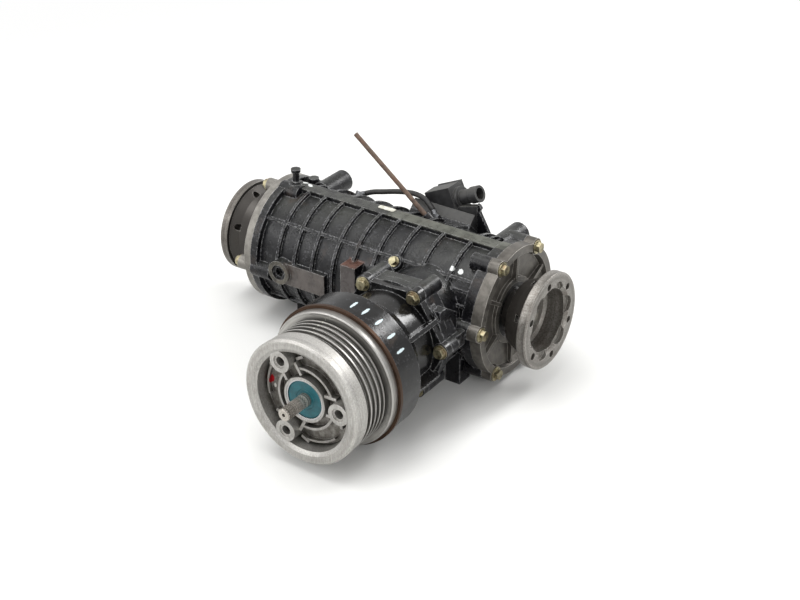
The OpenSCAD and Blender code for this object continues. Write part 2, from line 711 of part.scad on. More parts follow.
module lock_actuator()
    placed() color([0.17, 0.17, 0.18])
    difference() {
        union() {
            rotate([rod_angle, 0, 0])
                translate([seat_x, seat_r, -seat_w / 2]) cube([seat_len, base_t, seat_w]);
            actuator_frame() difference() {
                translate([-actuator_size[0], 0, -actuator_size[2]]) cube(actuator_size);
                translate([-actuator_size[0] - 1, actuator_size[1] - 5, -4]) rotate([40, 0, 0])
                    cube([actuator_size[0] + 2, 12, 12]);
            }
            // collar, barrel and lip of the plug socket
            actuator_frame() translate([-1, 14, -socket_at]) to_right() {
                cylinder(h = 5, r = socket_r + 4.5);
                cylinder(h = socket_len + 0.5, r = socket_r);
                translate([0, 0, socket_len - socket_lip]) cylinder(h = socket_lip + 1, r = socket_r + 1.3);
            }
            // wing that ties the case to its base
            translate([0, 61, 0]) to_front() linear_extrude(height = 8)
                polygon([
                    [-34, 40], [-6.5, 40], [-6.5, barrel_r + 11], [-20, barrel_r + 7], [-34, barrel_r + 3]]);
        }
        rod_x(-200, 200, seat_r - 5);
        // socket
        actuator_frame() translate([socket_len - socket_depth, 14, -socket_at]) to_right()
            cylinder(h = socket_depth + 2, r = socket_r - 1.6);
        // pocket for the finger
        rotate([rod_angle, 0, 0])
            translate([finger_x - 2, seat_r - 10, -finger_w / 2 - 1])
            cube([finger_w + lock_travel + 3, 20, finger_w + 2]);
        actuator_screw_places() cylinder(h = 60, r = 3.3);
        actuator_screw_places() translate([0, 0, base_t + 7.7]) cylinder(h = 14, r = 6);
        // the seat of the casting
        rotate([rod_angle, 0, 0])
            translate([seat_x - 20, 0, -30]) cube([seat_len + 40, seat_r, 60]);
    }

module connector_pins()
    placed() color([0.75, 0.68, 0.45])
    actuator_frame() for (a = [45 : 90 : 315])
        translate([socket_len - socket_depth, 14 + 3 * cos(a), -socket_at + 3 * sin(a)])
        to_right() cylinder(h = 4, r = 0.8);

module actuator_screws()
    placed() color([0.6, 0.56, 0.42])
    actuator_screw_places() {
        translate([0, 0, 2]) cylinder(h = base_t + 7, r = 3 - fit);
        translate([0, 0, base_t + 8]) cylinder(h = 5, r = 5.2, $fn = 6);
    }

module actuator_bracket()
    placed() color([0.15, 0.15, 0.16])
    difference() {
        translate([0, 57, 0]) to_front() linear_extrude(height = 4)
            polygon([
                [-6 + fit, 30], [18, 30], [9, barrel_r - 15.5], [-2.6, barrel_r + 5], [-0.6, barrel_r + 9.5],
                [-3, barrel_r + 13], [-6 + fit, barrel_r + 14]]);
        rod_x(-100, 100, barrel_r + rib_h + 0.05);
    }

module clip_bolt()
    placed() color([0.67, 0.6, 0.4])
    rotate([clip_angle, 0, 0]) translate([clip_x, barrel_r + 7, 0]) to_back() bolt(6, 9);

// ----------------------------------------------------------- differential

case_x = -8;
case_r = 31;
case_bore_r = 25.5;
case_half = 22.6;
gear_back_x = 26;
gear_flange_t = 7;
gear_flange_r = 50;
ring_bolt_ring = 42;
ring_bolts_n = 8;
pin_r = 5;
hub_out_r = carrier_bearing[0];
collar_x = bulkhead_left - 2.5;
dog_h = 4;
dog_r = 23.5;
washer_t = 1.4;
side_face = 8;
spline_r = 9;
hub_r = 22;
ring_cone = atan(ring_teeth / pinion_teeth);
pinion_cone = 90 - ring_cone;
side_cone = atan(side_teeth / spider_teeth);
spider_cone = 90 - side_cone;
spider_pitch_r = side_pitch_r * spider_teeth / side_teeth;
pinion_pitch_r = ring_pitch_r * pinion_teeth / ring_teeth;
ring_toe = 1 - gear_face / (ring_pitch_r / sin(ring_cone));
side_toe = 1 - side_face / (side_pitch_r / sin(side_cone));

// Dogs stand on a face at x = 0 and point to -X; half the pitch less a gap
module dog_ring(phase)
    for (i = [0 : dogs - 1])
        rotate([phase + 360 * i / dogs, 0, 0]) rotate([0, -90, 0])
        rotate([0, 0, -dog_angle / 2]) rotate_extrude(angle = dog_angle)
        polygon([[shaft_r + 2, -1], [dog_r, -1], [dog_r, dog_h], [shaft_r + 2, dog_h]]);
dog_angle = 180 / dogs - 5;

module differential_case()
    placed() color([0.35, 0.34, 0.33])
    difference() {
        union() {
            turned_x([
                [0, collar_x], [dog_r + join, collar_x], [dog_r + join, collar_x + 2], [hub_out_r - fit, collar_x + 3],
                [hub_out_r - fit, case_x - case_half - 5], [case_r - 4, case_x - case_half - 5],
                [case_r - fit, case_x - case_half - 1], [case_r - fit, gear_back_x],
                [gear_flange_r, gear_back_x], [gear_flange_r, gear_back_x + gear_flange_t],
                [24, gear_back_x + gear_flange_t], [hub_out_r - fit, gear_back_x + gear_flange_t + 4],
                [hub_out_r - fit, joint_right - 2.5], [0, joint_right - 2.5]]);
            translate([collar_x, 0, 0]) dog_ring(0);
        }
        rod_x(case_x - case_half, case_x + case_half, case_bore_r);
        rod_x(collar_x - 1, joint_right, shaft_r + fit);
        // windows through which the gears are fitted
        translate([case_x - 15, -case_r - 1, -15]) cube([30, 2 * case_r + 2, 30]);
        translate([case_x, 0, -case_r - 1]) cylinder(h = 2 * case_r + 2, r = pin_r + fit);
        ring_x(ring_bolts_n, ring_bolt_ring) rod_x(gear_back_x - 1, gear_back_x + 20, 3.55);
    }

module ring_gear()
    placed() color([0.5, 0.5, 0.52])
    difference() {
        union() {
            turned_x([
                [case_r, gear_back_x], [case_r, root_point(ring_teeth, ring_pitch_r, ring_cone, ring_toe)[1]],
                root_point(ring_teeth, ring_pitch_r, ring_cone, ring_toe),
                root_point(ring_teeth, ring_pitch_r, ring_cone),
                [ring_pitch_r + 2, 19], [ring_pitch_r + 2, gear_back_x]]);
            to_right() bevel_teeth(ring_teeth, ring_pitch_r, ring_cone, gear_face, 180 / ring_teeth);
        }
        ring_x(ring_bolts_n, ring_bolt_ring) rod_x(gear_back_x - 7, gear_back_x + 1, 3.5);
    }

module ring_gear_bolts()
    placed() color([0.3, 0.3, 0.31])
    ring_x(ring_bolts_n, ring_bolt_ring)
        translate([gear_back_x + gear_flange_t, 0, 0]) to_right() {
            cylinder(h = 5, r = 6, $fn = 6);
            translate([0, 0, -13]) cylinder(h = 13.5, r = 3.5 - fit);
        }

module cross_pin()
    placed() color([0.6, 0.6, 0.62])
    translate([case_x, 0, -case_r + 0.5]) cylinder(h = 2 * case_r - 1, r = pin_r);

module spider_form()
    intersection() {
        difference() {
            union() {
                rotate_extrude() polygon([
                    [0, root_point(spider_teeth, spider_pitch_r, spider_cone, side_toe)[1]],
                    root_point(spider_teeth, spider_pitch_r, spider_cone, side_toe),
                    root_point(spider_teeth, spider_pitch_r, spider_cone), [11, 22.5], [11, 27], [0, 27]]);
                bevel_teeth(spider_teeth, spider_pitch_r, spider_cone, side_face);
            }
            cylinder(h = 30, r = pin_r + fit);
        }
        rod_x(-30, 30, case_bore_r - fit);
    }

module spider_gears()
    placed() color([0.5, 0.5, 0.52])
    translate([case_x, 0, 0]) {
        spider_form();
        mirror([0, 0, 1]) spider_form();
    }

module side_gear_form()
    to_right() difference() {
        union() {
            rotate_extrude() polygon([
                [0, root_point(side_teeth, side_pitch_r, side_cone, side_toe)[1]],
                root_point(side_teeth, side_pitch_r, side_cone, side_toe),
                root_point(side_teeth, side_pitch_r, side_cone), [19.5, 17],
                [19.5, case_half - washer_t - 0.1], [0, case_half - washer_t - 0.1]]);
            bevel_teeth(side_teeth, side_pitch_r, side_cone, side_face, 180 / side_teeth);
        }
        cylinder(h = 30, r = spline_r + fit);
    }

module right_side_gear()
    placed() color([0.5, 0.5, 0.52]) translate([case_x, 0, 0]) side_gear_form();

module left_side_gear()
    placed() color([0.5, 0.5, 0.52]) translate([case_x, 0, 0]) mirror([1, 0, 0]) side_gear_form();

module side_gear_washers()
    placed() color([0.7, 0.55, 0.3])
    translate([case_x, 0, 0]) for (side = [0, 1]) mirror([side, 0, 0])
        translate([case_half - washer_t, 0, 0]) to_right() ring(spline_r + 1, 19, washer_t);

// ---------------------------------------------------- shafts and flanges

// Flange whose face is at x = 0 and whose hub points to -X
module drive_flange(hub_len) {
    floor_x = -cup_depth;
    back_x = floor_x - 7;
    difference() {
        turned_x([
            [11 + fit, back_x - hub_len], [hub_r, back_x - hub_len], [hub_r, back_x + 1],
            [cup_r + 2, back_x + 1], [cup_r + 8, -flange_t - 9], [flange_r - 4, -flange_t],
            [flange_r, -flange_t], [flange_r, -1], [flange_r - 1, 0], [cup_r + 4, 0],
            [cup_r + 2, -2], [cup_r, -3], [cup_r, floor_x + 3], [cup_r - 3, floor_x],
            [11 + fit, floor_x]]);
        ring_x(flange_holes, flange_pcd / 2, 97.7)
            rod_x(-flange_t - 10, 1, flange_hole_d / 2);
        // pockets of the scalloped inner edge, between the holes
        for (i = [0 : flange_holes - 1])
            rotate([97.7 + 360 * (i + 0.5) / flange_holes, 0, 0])
            translate([0, cup_r - 2.5, 0]) rod_x(-4, 1, 11);
    }
}

module right_flange()
    placed() color([0.58, 0.57, 0.53])
    translate([reach_right, 0, 0]) drive_flange(reach_right - cup_depth - 7 - joint_right);

module left_flange()
    placed() mirror([1, 0, 0]) color([0.5, 0.47, 0.43])
    translate([reach_left, 0, 0]) drive_flange(reach_left - cup_depth - 7 - joint_left - left_bearing[2] - 4);

// Shaft with a splined end in the side gear and a stub in the drive flange
module output_shaft(reach, bore_end) {
    inner = abs(case_x) * (reach == reach_left ? 1 : -1);
    floor_x = reach - cup_depth;
    difference() {
        union() {
            rod_x(inner + 9, inner + case_half + 0.5, spline_r);
            rod_x(inner + case_half + 0.4, bore_end, shaft_r);
            rod_x(bore_end - 1, floor_x - 1, 11);
        }
        rod_x(floor_x - 26, floor_x, 5);
    }
}

module right_shaft()
    placed() color([0.55, 0.55, 0.56]) output_shaft(reach_right, joint_right - 0.5);

module left_shaft()
    placed() mirror([1, 0, 0]) color([0.55, 0.55, 0.56])
    output_shaft(reach_left, joint_left + left_bearing[2] + 3.5);

module flange_bolt()
    to_right() {
        cylinder(h = 3, r = 14);
        cylinder(h = 10, r = 9, $fn = 6);
        translate([0, 0, -24]) cylinder(h = 24.5, r = 5 - fit);
    }

module right_flange_bolt()
    placed() color([0.5, 0.47, 0.38]) translate([reach_right - cup_depth, 0, 0]) flange_bolt();

module left_flange_bolt()
    placed() mirror([1, 0, 0]) color([0.5, 0.47, 0.38])
    translate([reach_left - cup_depth, 0, 0]) flange_bolt();

// ----------------------------------------------------------------- pinion

input_r = 11;
shaft_end = cover_seam - 0.6;

module drive_pinion()
    placed() color([0.5, 0.5, 0.52])
    to_front() difference() {
        union() {
            rotate_extrude() polygon([
                [0, root_point(pinion_teeth, pinion_pitch_r, pinion_cone, ring_toe)[1]],
                root_point(pinion_teeth, pinion_pitch_r, pinion_cone, ring_toe),
                root_point(pinion_teeth, pinion_pitch_r, pinion_cone),
                [input_r, head_bearing_at - 4], [head_bearing[0] + 4, head_bearing_at - 3],
                [head_bearing[0] + 4, head_bearing_at], [head_bearing[0], head_bearing_at],
                [head_bearing[0], head_bearing_at + head_bearing[2] + 3],
                [tail_bearing[0], head_bearing_at + head_bearing[2] + 4],
                [tail_bearing[0], joint_nose + 10], [input_r, joint_nose + 12],
                [input_r, shaft_end - 1], [input_r - 1, shaft_end], [0, shaft_end]]);
            bevel_teeth(pinion_teeth, pinion_pitch_r, pinion_cone, gear_face);
        }
        translate([0, 0, shaft_end - 16]) cylinder(h = 18, r = spigot_r + fit);
    }

module pinion_nut()
    placed() color([0.4, 0.4, 0.41])
    translate([0, -joint_nose - 0.5, 0]) to_front() difference() {
        cylinder(h = 9, r = 23, $fn = 6);
        translate([0, 0, -1]) cylinder(h = 12, r = tail_bearing[0] + fit);
    }

coupling_start = drum_back + 6;
plate_pitch = (cover_seam - coupling_start - 2) / plates;
plate_t = 1.2;
coupling_hub_r = 22;

module coupling_hub()
    placed() color([0.5, 0.5, 0.52])
    translate([0, -coupling_start - 1, 0]) to_front()
    ring(input_r + fit, coupling_hub_r, shaft_end - coupling_start - 2);

module inner_plates()
    placed() color([0.6, 0.6, 0.6])
    for (i = [0 : plates - 1])
        translate([0, -coupling_start - 1.5 - i * plate_pitch, 0]) to_front()
        ring(coupling_hub_r + fit, coupling_bore_r - 6, plate_t);

module centre_spigot()
    placed() color([0.62, 0.6, 0.57])
    to_front() difference() {
        union() {
            translate([0, 0, shaft_end - 15]) cylinder(h = spigot_tip - shaft_end + 14, r = spigot_r);
            translate([0, 0, spigot_tip - 1]) cylinder(h = 1, r1 = spigot_r, r2 = spigot_r - 1);
        }
        for (i = [0 : 15]) rotate([0, 0, 360 * i / 16])
            translate([spigot_r - 0.7, -0.6, drum_front - 4]) cube([3, 1.2, 40]);
        translate([0, 0, spigot_tip - 7]) cylinder(h = 8, r = 2);
    }

// --------------------------------------------------------- coupling drum

rear_ring_r = 73.3;
rear_ring_t = 10;
fin_start = drum_back + rear_ring_t;
fin_root_r = drum_r - fin_depth;
fin_pitch = (cover_seam - fin_start) / (fins + 0.5);
hub_ring_r = drum_bearing_size[1];

module coupling_drum()
    placed() color([0.69, 0.67, 0.64])
    union() {
        turned_front([
            [hub_ring_r, bell_front - 19], [hub_ring_r + 5, bell_front - 19],
            [hub_ring_r + 5, drum_back], [rear_ring_r - 1, drum_back], [rear_ring_r, drum_back + 1],
            [rear_ring_r, fin_start - 1], [rear_ring_r - 1, fin_start], [fin_root_r, fin_start],
            [fin_root_r, cover_seam],
            [coupling_bore_r, cover_seam], [coupling_bore_r, coupling_start],
            [13, coupling_start], [13, drum_back], [hub_ring_r, drum_back]]);
        for (i = [1 : fins])
            translate([0, i * fin_pitch - cover_seam, 0]) to_front() ring(fin_root_r - join, drum_r - 0.4, fin_t);
    }

recess_r = 54;
front_hub_r = 25;
cap_r = 22;

// Curved rib on the floor of the recess, from angle a0 to a1 about the axis
module arc_rib(r, t, a0, a1, h)
    translate([0, 0, recess_floor - 1]) rotate([0, 0, a0]) rotate_extrude(angle = a1 - a0)
    translate([r - t / 2, 0]) square([t, h + 1]);

module drum_front_cover()
    placed() color([0.69, 0.67, 0.64])
    to_front() difference() {
        union() {
            rotate_extrude() polygon([
                [8.5, cover_seam], [drum_r - 1, cover_seam], [drum_r, cover_seam + 1],
                [drum_r, drum_front - 10], [drum_r + 0.6, drum_front - 9], [drum_r + 0.6, drum_front - 2],
                [drum_r - 1.4, drum_front], [recess_r + 4, drum_front], [recess_r, drum_front - 2.5],
                [recess_r - 2, recess_floor], [front_hub_r, recess_floor],
                [front_hub_r - 0.5, drum_front - 7.5], [8.5, drum_front - 7.5]]);
            for (a = [123, 3, -117]) rotate([0, 0, a]) {
                translate([boss_ring, 0, cover_seam + 2])
                    cylinder(h = drum_front - cover_seam - 3.65, r = boss_d / 2);
                // arms that tie each boss to the hub and the wall
                translate([front_hub_r - 1, -12, recess_floor - 1]) cube([14, 3, 9]);
                translate([front_hub_r - 1, 9, recess_floor - 1]) cube([14, 3, 9]);
                translate([boss_ring - 2, 14, recess_floor - 1]) cube([3, 10, 7]);
                translate([boss_ring - 6, -22, recess_floor - 1]) cube([3, 9, 7]);
                arc_rib(33, 2.5, 18, 102, 7);
                arc_rib(48, 2, 22, 70, 5);
            }
        }
        for (a = [123, 3, -117]) rotate([0, 0, a]) translate([boss_ring, 0, 0]) {
            translate([0, 0, cover_seam + 4]) cylinder(h = 40, r = boss_hole_d / 2);
            translate([0, 0, drum_front - 3.15]) cylinder(h = 4, r = boss_hole_d / 2 + 2.2);
        }
        // seat of the seal cap
        translate([0, 0, drum_front - 14]) cylinder(h = 20, r = cap_r);
    }

module outer_plates()
    placed() color([0.6, 0.6, 0.6])
    for (i = [0 : plates - 1])
        translate([0, -coupling_start - 1.5 - (i + 0.5) * plate_pitch, 0]) to_front()
        ring(coupling_hub_r + 6, coupling_bore_r - fit, plate_t);

module seal_cap()
    placed() color([0.10, 0.45, 0.47])
    to_front() rotate_extrude() polygon([
        [spigot_r + 0.3, drum_front - 14], [cap_r - 1.5 - fit, drum_front - 14],
        [cap_r - 1.5 - fit, drum_front - 9.5], [cap_r - 3, drum_front - 8.7],
        [11, drum_front - 8.7], [10, drum_front - 9.5], [spigot_r + 0.3, drum_front - 9.5]]);

module seal_ring()
    placed() color([0.8, 0.8, 0.8])
    translate([0, -drum_front + 14, 0]) to_front() ring(cap_r - 1.5, cap_r - fit, 6);

module dust_ring()
    placed() color([0.43, 0.31, 0.24])
    to_front() rotate_extrude() polygon([
        [60, drum_back], [60, drum_back - 1], [bell_r - 0.5, drum_back - 1.5],
        [bell_r - 0.5, drum_back - 2.5 + 0.2], [bell_r + 1.7, drum_back - 2.5 + 0.2],
        [bell_r + 1.7, drum_back + 1.5], [rear_ring_r + 0.1, drum_back + 1.5],
        [rear_ring_r + 0.1, drum_back]]);

// ------------------------------------------------------ differential lock

groove_x = -90;
groove_w = 8;
sleeve_left = -96;
sleeve_right = -76;

module lock_sleeve()
    placed() color([0.5, 0.5, 0.52])
    difference() {
        union() {
            turned_x([
                [0, sleeve_left], [24, sleeve_left], [24, groove_x], [20.5, groove_x],
                [20.5, groove_x + groove_w], [24, groove_x + groove_w], [24, sleeve_right], [0, sleeve_right]]);
            translate([sleeve_right, 0, 0]) mirror([1, 0, 0]) dog_ring(180 / dogs);
        }
        rod_x(sleeve_left - 1, sleeve_right + dog_h + 2, shaft_r + fit);
    }

module lock_fork()
    placed() color([0.55, 0.5, 0.4])
    rotate([rod_angle, 0, 0]) difference() {
        union() {
            rod_x(groove_x + 0.2, groove_x + groove_w - 0.2, 30);
            translate([groove_x + 0.2, 10, -8]) cube([groove_w - 0.4, rod_ring - 10, 16]);
            translate([0, rod_ring, 0]) rod_x(groove_x - 3, groove_x + groove_w + 6, fork_boss_r);
        }
        rod_x(groove_x - 10, groove_x + 20, 21);
        translate([groove_x - 10, -40, -40]) cube([30, 36, 80]);
        translate([0, rod_ring, 0]) rod_x(groove_x - 10, groove_x + 30, rod_r + fit);
    }

module lock_rod()
    placed() color([0.6, 0.6, 0.62])
    rotate([rod_angle, 0, 0]) {
        translate([0, rod_ring, 0]) rod_x(rod_left, rod_right, rod_r);
        translate([finger_x, rod_ring, -finger_w / 2]) cube([finger_w, seat_r + 6 - rod_ring, finger_w]);
    }

main_housing();
right_cover();
left_cover();
right_cover_bolts();
left_cover_bolts();
right_shaft_seal();
left_shaft_seal();
nose_housing();
nose_bolts();
pinion_head_bearing();
pinion_tail_bearing();
pinion_seal();
right_carrier_bearing();
left_carrier_bearing();
left_shaft_bearing();
fill_plug();
drain_plug();
breather_cap();
vent_pipe();
vacuum_hose();
hose_nipples();
lock_actuator();
connector_pins();
actuator_bracket();
actuator_screws();
clip_bolt();
drum_bearing();
differential_case();
ring_gear();
ring_gear_bolts();
cross_pin();
spider_gears();
side_gear_washers();
left_side_gear();
left_shaft();
left_flange();
left_flange_bolt();
right_side_gear();
right_shaft();
right_flange();
right_flange_bolt();
drive_pinion();
pinion_nut();
coupling_hub();
inner_plates();
centre_spigot();
coupling_drum();
drum_front_cover();
outer_plates();
seal_cap();
seal_ring();
dust_ring();
lock_rod();
lock_fork();
lock_sleeve();
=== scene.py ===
"""Rear final drive with its finned viscous coupling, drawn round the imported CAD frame.

Metres, Z up, the output shafts along X and the coupling out towards -Y.
"""
import math

import bpy
import numpy as np
from mathutils import Matrix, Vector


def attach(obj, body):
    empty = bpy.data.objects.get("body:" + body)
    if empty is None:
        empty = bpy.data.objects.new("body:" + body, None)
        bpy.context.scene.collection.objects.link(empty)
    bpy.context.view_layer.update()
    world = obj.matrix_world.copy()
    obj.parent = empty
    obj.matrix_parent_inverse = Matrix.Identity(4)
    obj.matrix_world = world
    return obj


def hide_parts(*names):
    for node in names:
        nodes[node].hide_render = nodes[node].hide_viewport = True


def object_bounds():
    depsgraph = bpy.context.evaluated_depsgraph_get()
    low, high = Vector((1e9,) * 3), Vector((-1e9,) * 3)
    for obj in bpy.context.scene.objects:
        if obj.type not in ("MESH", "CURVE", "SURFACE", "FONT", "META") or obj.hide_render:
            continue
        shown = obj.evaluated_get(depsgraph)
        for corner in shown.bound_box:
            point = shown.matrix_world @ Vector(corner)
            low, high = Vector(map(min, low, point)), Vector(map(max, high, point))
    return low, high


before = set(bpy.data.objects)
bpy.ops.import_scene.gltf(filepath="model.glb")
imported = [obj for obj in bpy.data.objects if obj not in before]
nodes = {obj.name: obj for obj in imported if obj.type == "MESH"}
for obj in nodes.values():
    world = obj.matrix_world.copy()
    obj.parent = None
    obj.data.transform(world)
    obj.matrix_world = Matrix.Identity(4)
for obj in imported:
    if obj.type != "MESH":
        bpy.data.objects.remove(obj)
cad_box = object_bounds()
scene = bpy.context.scene
scene.view_settings.view_transform = "Standard"

# ---------------------------------------------------------------- camera
# A long lens from the front right and above, where the coupling's face and
# the right drive flange are both in view.
turn, tilt = math.radians(34.49), math.radians(29.34)
lens = bpy.data.cameras.new("view")
lens.lens, lens.sensor_width = 73.98, 36
lens.clip_start, lens.clip_end = 0.05, 30
camera = bpy.data.objects.new("view", lens)
scene.collection.objects.link(camera)
across = np.array([math.cos(turn), math.sin(turn), 0])
back = np.array([math.sin(turn) * math.cos(tilt), -math.cos(turn) * math.cos(tilt), math.sin(tilt)])
up = np.cross(back, across)
placing = np.eye(4)
placing[:3, 0], placing[:3, 1], placing[:3, 2] = across, up, back
placing[:3, 3] = 0.7135, -1.3166, 0.8627
camera.matrix_world = Matrix(placing.tolist())
scene.camera = camera


# ----------------------------------------------------- floor and lighting
# A plain pale sweep under broad soft lamps, as for a parts catalogue: a large
# one overhead, one at each side in front and a small one behind. Far from the
# part the paper fades to pure white, so no edge of it shows.
def linear(code):
    """sRGB hex to linear RGBA: c / 12.92 below 0.04045, else ((c + 0.055) / 1.055) ** 2.4."""
    c = np.array([int(code[i:i + 2], 16) for i in (0, 2, 4)]) / 255
    return (*np.where(c < 0.04045, c / 12.92, ((c + 0.055) / 1.055) ** 2.4), 1.0)


def add(tree, kind, sockets=None, **settings):
    """Adds one shader node and returns it.

    settings are its properties, and sockets its inputs by name or number, each a value or another
    node's output.
    """
    node = tree.nodes.new("ShaderNode" + kind)
    for key, value in settings.items():
        setattr(node, key, value)
    for key, value in (sockets or {}).items():
        if isinstance(value, bpy.types.NodeSocket):
            tree.links.new(value, node.inputs[key])
        else:
            node.inputs[key].default_value = value
    return node


floor_gap, floor_half = 0.0002, 6
floor_z = cad_box[0][2] - floor_gap
floor_mesh = bpy.data.meshes.new("floor")
corners = [(-1, -1), (1, -1), (1, 1), (-1, 1)]
floor_mesh.from_pydata([(x * floor_half, y * floor_half, floor_z) for x, y in corners], [], [(0, 1, 2, 3)])
floor = bpy.data.objects.new("floor", floor_mesh)
scene.collection.objects.link(floor)
paper = bpy.data.materials.new("matt white paper")
paper.use_nodes = True
tree = paper.node_tree
shader = tree.nodes["Principled BSDF"]
shader.inputs["Base Color"].default_value = linear("e6e6e4")
shader.inputs["Roughness"].default_value = 0.9
shader.inputs["Specular IOR Level"].default_value = 0.2
paper_middle, fade_from, fade_to = (-0.2, -0.1, 0), 0.45, 1.5
where = add(tree, "TexCoord").outputs["Object"]
from_middle = add(tree, "VectorMath", {0: where, 1: paper_middle}, operation="SUBTRACT")
far_off = add(tree, "VectorMath", {0: from_middle.outputs[0]}, operation="LENGTH")
fade = add(tree, "MapRange", {
    "Value": far_off.outputs["Value"], "From Min": fade_from, "From Max": fade_to},
    interpolation_type="SMOOTHSTEP")
camera_ray = add(tree, "LightPath").outputs["Is Camera Ray"]
seen = add(tree, "Math", {0: fade.outputs[0], 1: camera_ray}, operation="MULTIPLY")
glow = add(tree, "Emission", {"Color": linear("ffffff"), "Strength": 1.0})
both = add(tree, "MixShader", {0: seen.outputs[0], 1: shader.outputs[0], 2: glow.outputs[0]})
tree.links.new(both.outputs[0], tree.nodes["Material Output"].inputs["Surface"])
floor_mesh.materials.append(paper)

world = bpy.data.worlds.new("studio")
world.use_nodes = True
scene.world = world
tree = world.node_tree
tree.nodes.clear()
path = add(tree, "LightPath")
seen = add(tree, "Math", {
    0: path.outputs["Is Camera Ray"], 1: path.outputs["Is Transmission Ray"]}, operation="MAXIMUM")
mirrored = add(tree, "Math", {0: seen.outputs[0], 1: path.outputs["Is Glossy Ray"]}, operation="MAXIMUM")
dim = add(tree, "Background", {"Color": linear("ffffff"), "Strength": 0.62})
full = add(tree, "Background", {"Color": linear("ffffff"), "Strength": 1.0})
both = add(tree, "MixShader", {0: mirrored.outputs[0], 1: dim.outputs[0], 2: full.outputs[0]})
add(tree, "OutputWorld", {0: both.outputs[0]})

middle = np.array([-0.16, -0.1, 0.0])
lamps = (  # name, place and width in metres, watts
    ("overhead", (-0.45, -0.35, 1.7), 1.3, 23),
    ("left front", (-1.3, -1.5, 0.9), 0.9, 13),
    ("right front", (1.6, -0.9, 0.7), 0.9, 9),
    ("rear", (0.5, 1.5, 1.2), 0.6, 22))
for name, place, size, power in lamps:
    lamp = bpy.data.lights.new(name, "AREA")
    lamp.size, lamp.energy = size, power
    holder = bpy.data.objects.new(name, lamp)
    scene.collection.objects.link(holder)
    aim = np.array(place) - middle
    aim = aim / np.linalg.norm(aim)
    side = np.cross((0, 0, 1), aim)
    side = side / np.linalg.norm(side)
    placing = np.eye(4)
    placing[:3, 0], placing[:3, 1], placing[:3, 2] = side, np.cross(aim, side), aim
    placing[:3, 3] = place
    holder.matrix_world = Matrix(placing.tolist())


# ------------------------------------------------------------ vacuum hose
# Moulded rubber hose, 6 mm outside, pushed on two nipples on the barrel. It
# is stiff and holds its arch.
def new_material(name, **principled):
    """A named material, its node tree and its shader.

    principled are values of the shader's own sockets, by name with _ for a space.
    """
    made = bpy.data.materials.new(name)
    made.use_nodes = True
    shader = made.node_tree.nodes["Principled BSDF"]
    for key, value in principled.items():
        shader.inputs[key.replace("_", " ")].default_value = value
    return made, made.node_tree, shader


def object_noise(tree, mm, detail=4.0, stretch=(1, 1, 1), lean=(0, 0, 0)):
    """Noise from 0 to 1 whose grains are mm across on the object, longer along an axis where stretch is
    below 1."""
    where = add(tree, "TexCoord")
    turned = add(tree, "Mapping", {"Vector": where.outputs["Object"], "Rotation": lean, "Scale": stretch})
    return add(tree, "TexNoise", {
        "Vector": turned.outputs[0], "Scale": 1000 / mm, "Detail": detail, "Roughness": 0.6}).outputs["Fac"]


def between(tree, value, low, high, to_low=0.0, to_high=1.0):
    """The value from low to high, moved to to_low to to_high and held at the ends."""
    return add(tree, "MapRange", {
        "Value": value, "From Min": low, "From Max": high, "To Min": to_low, "To Max": to_high}).outputs[0]


def blend_colour(tree, share, a, b):
    """Colour a going to b as share goes from 0 to 1; each is a hex code or a node's output."""
    mix = add(tree, "Mix", {"Factor": share}, data_type="RGBA")
    for number, colour in ((6, a), (7, b)):
        if isinstance(colour, str):
            mix.inputs[number].default_value = linear(colour)
        else:
            tree.links.new(colour, mix.inputs[number])
    return mix.outputs[2]


hose_rubber, tree, shader = new_material("vulcanised hose rubber", Roughness=0.55, Specular_IOR_Level=0.4)
bloom = object_noise(tree, 9)
colour = blend_colour(tree, between(tree, bloom, 0.35, 0.75), "19191a", "353432")
tree.links.new(colour, shader.inputs["Base Color"])
grain = add(tree, "Bump", {"Height": object_noise(tree, 0.7), "Distance": 0.0001, "Strength": 0.5})
tree.links.new(grain.outputs[0], shader.inputs["Normal"])

hose_r = 3.0
nipple_spots = np.array([[-158, 50, 66], [-46, 62, -42]])  # place along X, angle round it, lean
barrel_r = 66.0
foot_gap = 0.05
reach = 120.0  # from the world origin back to the crossing of the two axes
elbow_h, spout_len, hose_gap = 4.0, 8.0, 0.4


def hose_end(i):
    """Point on the axis of nipple i's leaning spout, a gap beyond its end, in mm from the output axis."""
    x, angle, lean = nipple_spots[i]
    angle, lean = math.radians(angle), math.radians(lean)
    out = spout_len + hose_gap
    r = barrel_r + foot_gap + elbow_h + out * math.cos(lean)
    return [x + out * math.sin(lean), r * math.cos(angle), r * math.sin(angle)]


def curve_through(points, steps):
    """Catmull-Rom curve: each stretch from b to c is
    0.5 (2b + (c-a)t + (2a-5b+4c-d)t^2 + (3b-a-3c+d)t^3)."""
    p = np.array(points, float)
    ends = np.vstack([p[:1], p, p[-1:]])
    a, b, c, d = (ends[k:len(p) - 1 + k, None] for k in range(4))
    t = (np.arange(steps) / steps)[None, :, None]
    curve = 0.5 * (
        2 * b + (c - a) * t + (2 * a - 5 * b + 4 * c - d) * t ** 2 + (3 * b - a - 3 * c + d) * t ** 3)
    return np.vstack([curve.reshape(-1, 3), p[-1:]])


route = curve_through([
    hose_end(0), [-141.5, 49.5, 59.5], [-129, 51, 62.5], [-116, 50.5, 66.5], [-104, 49.5, 70],
    [-92, 47.5, 73], [-80, 45, 75], [-68, 41.5, 75], [-59, 38, 72], hose_end(1)], 4)
route = (route - [reach, 0, 0]) / 1000


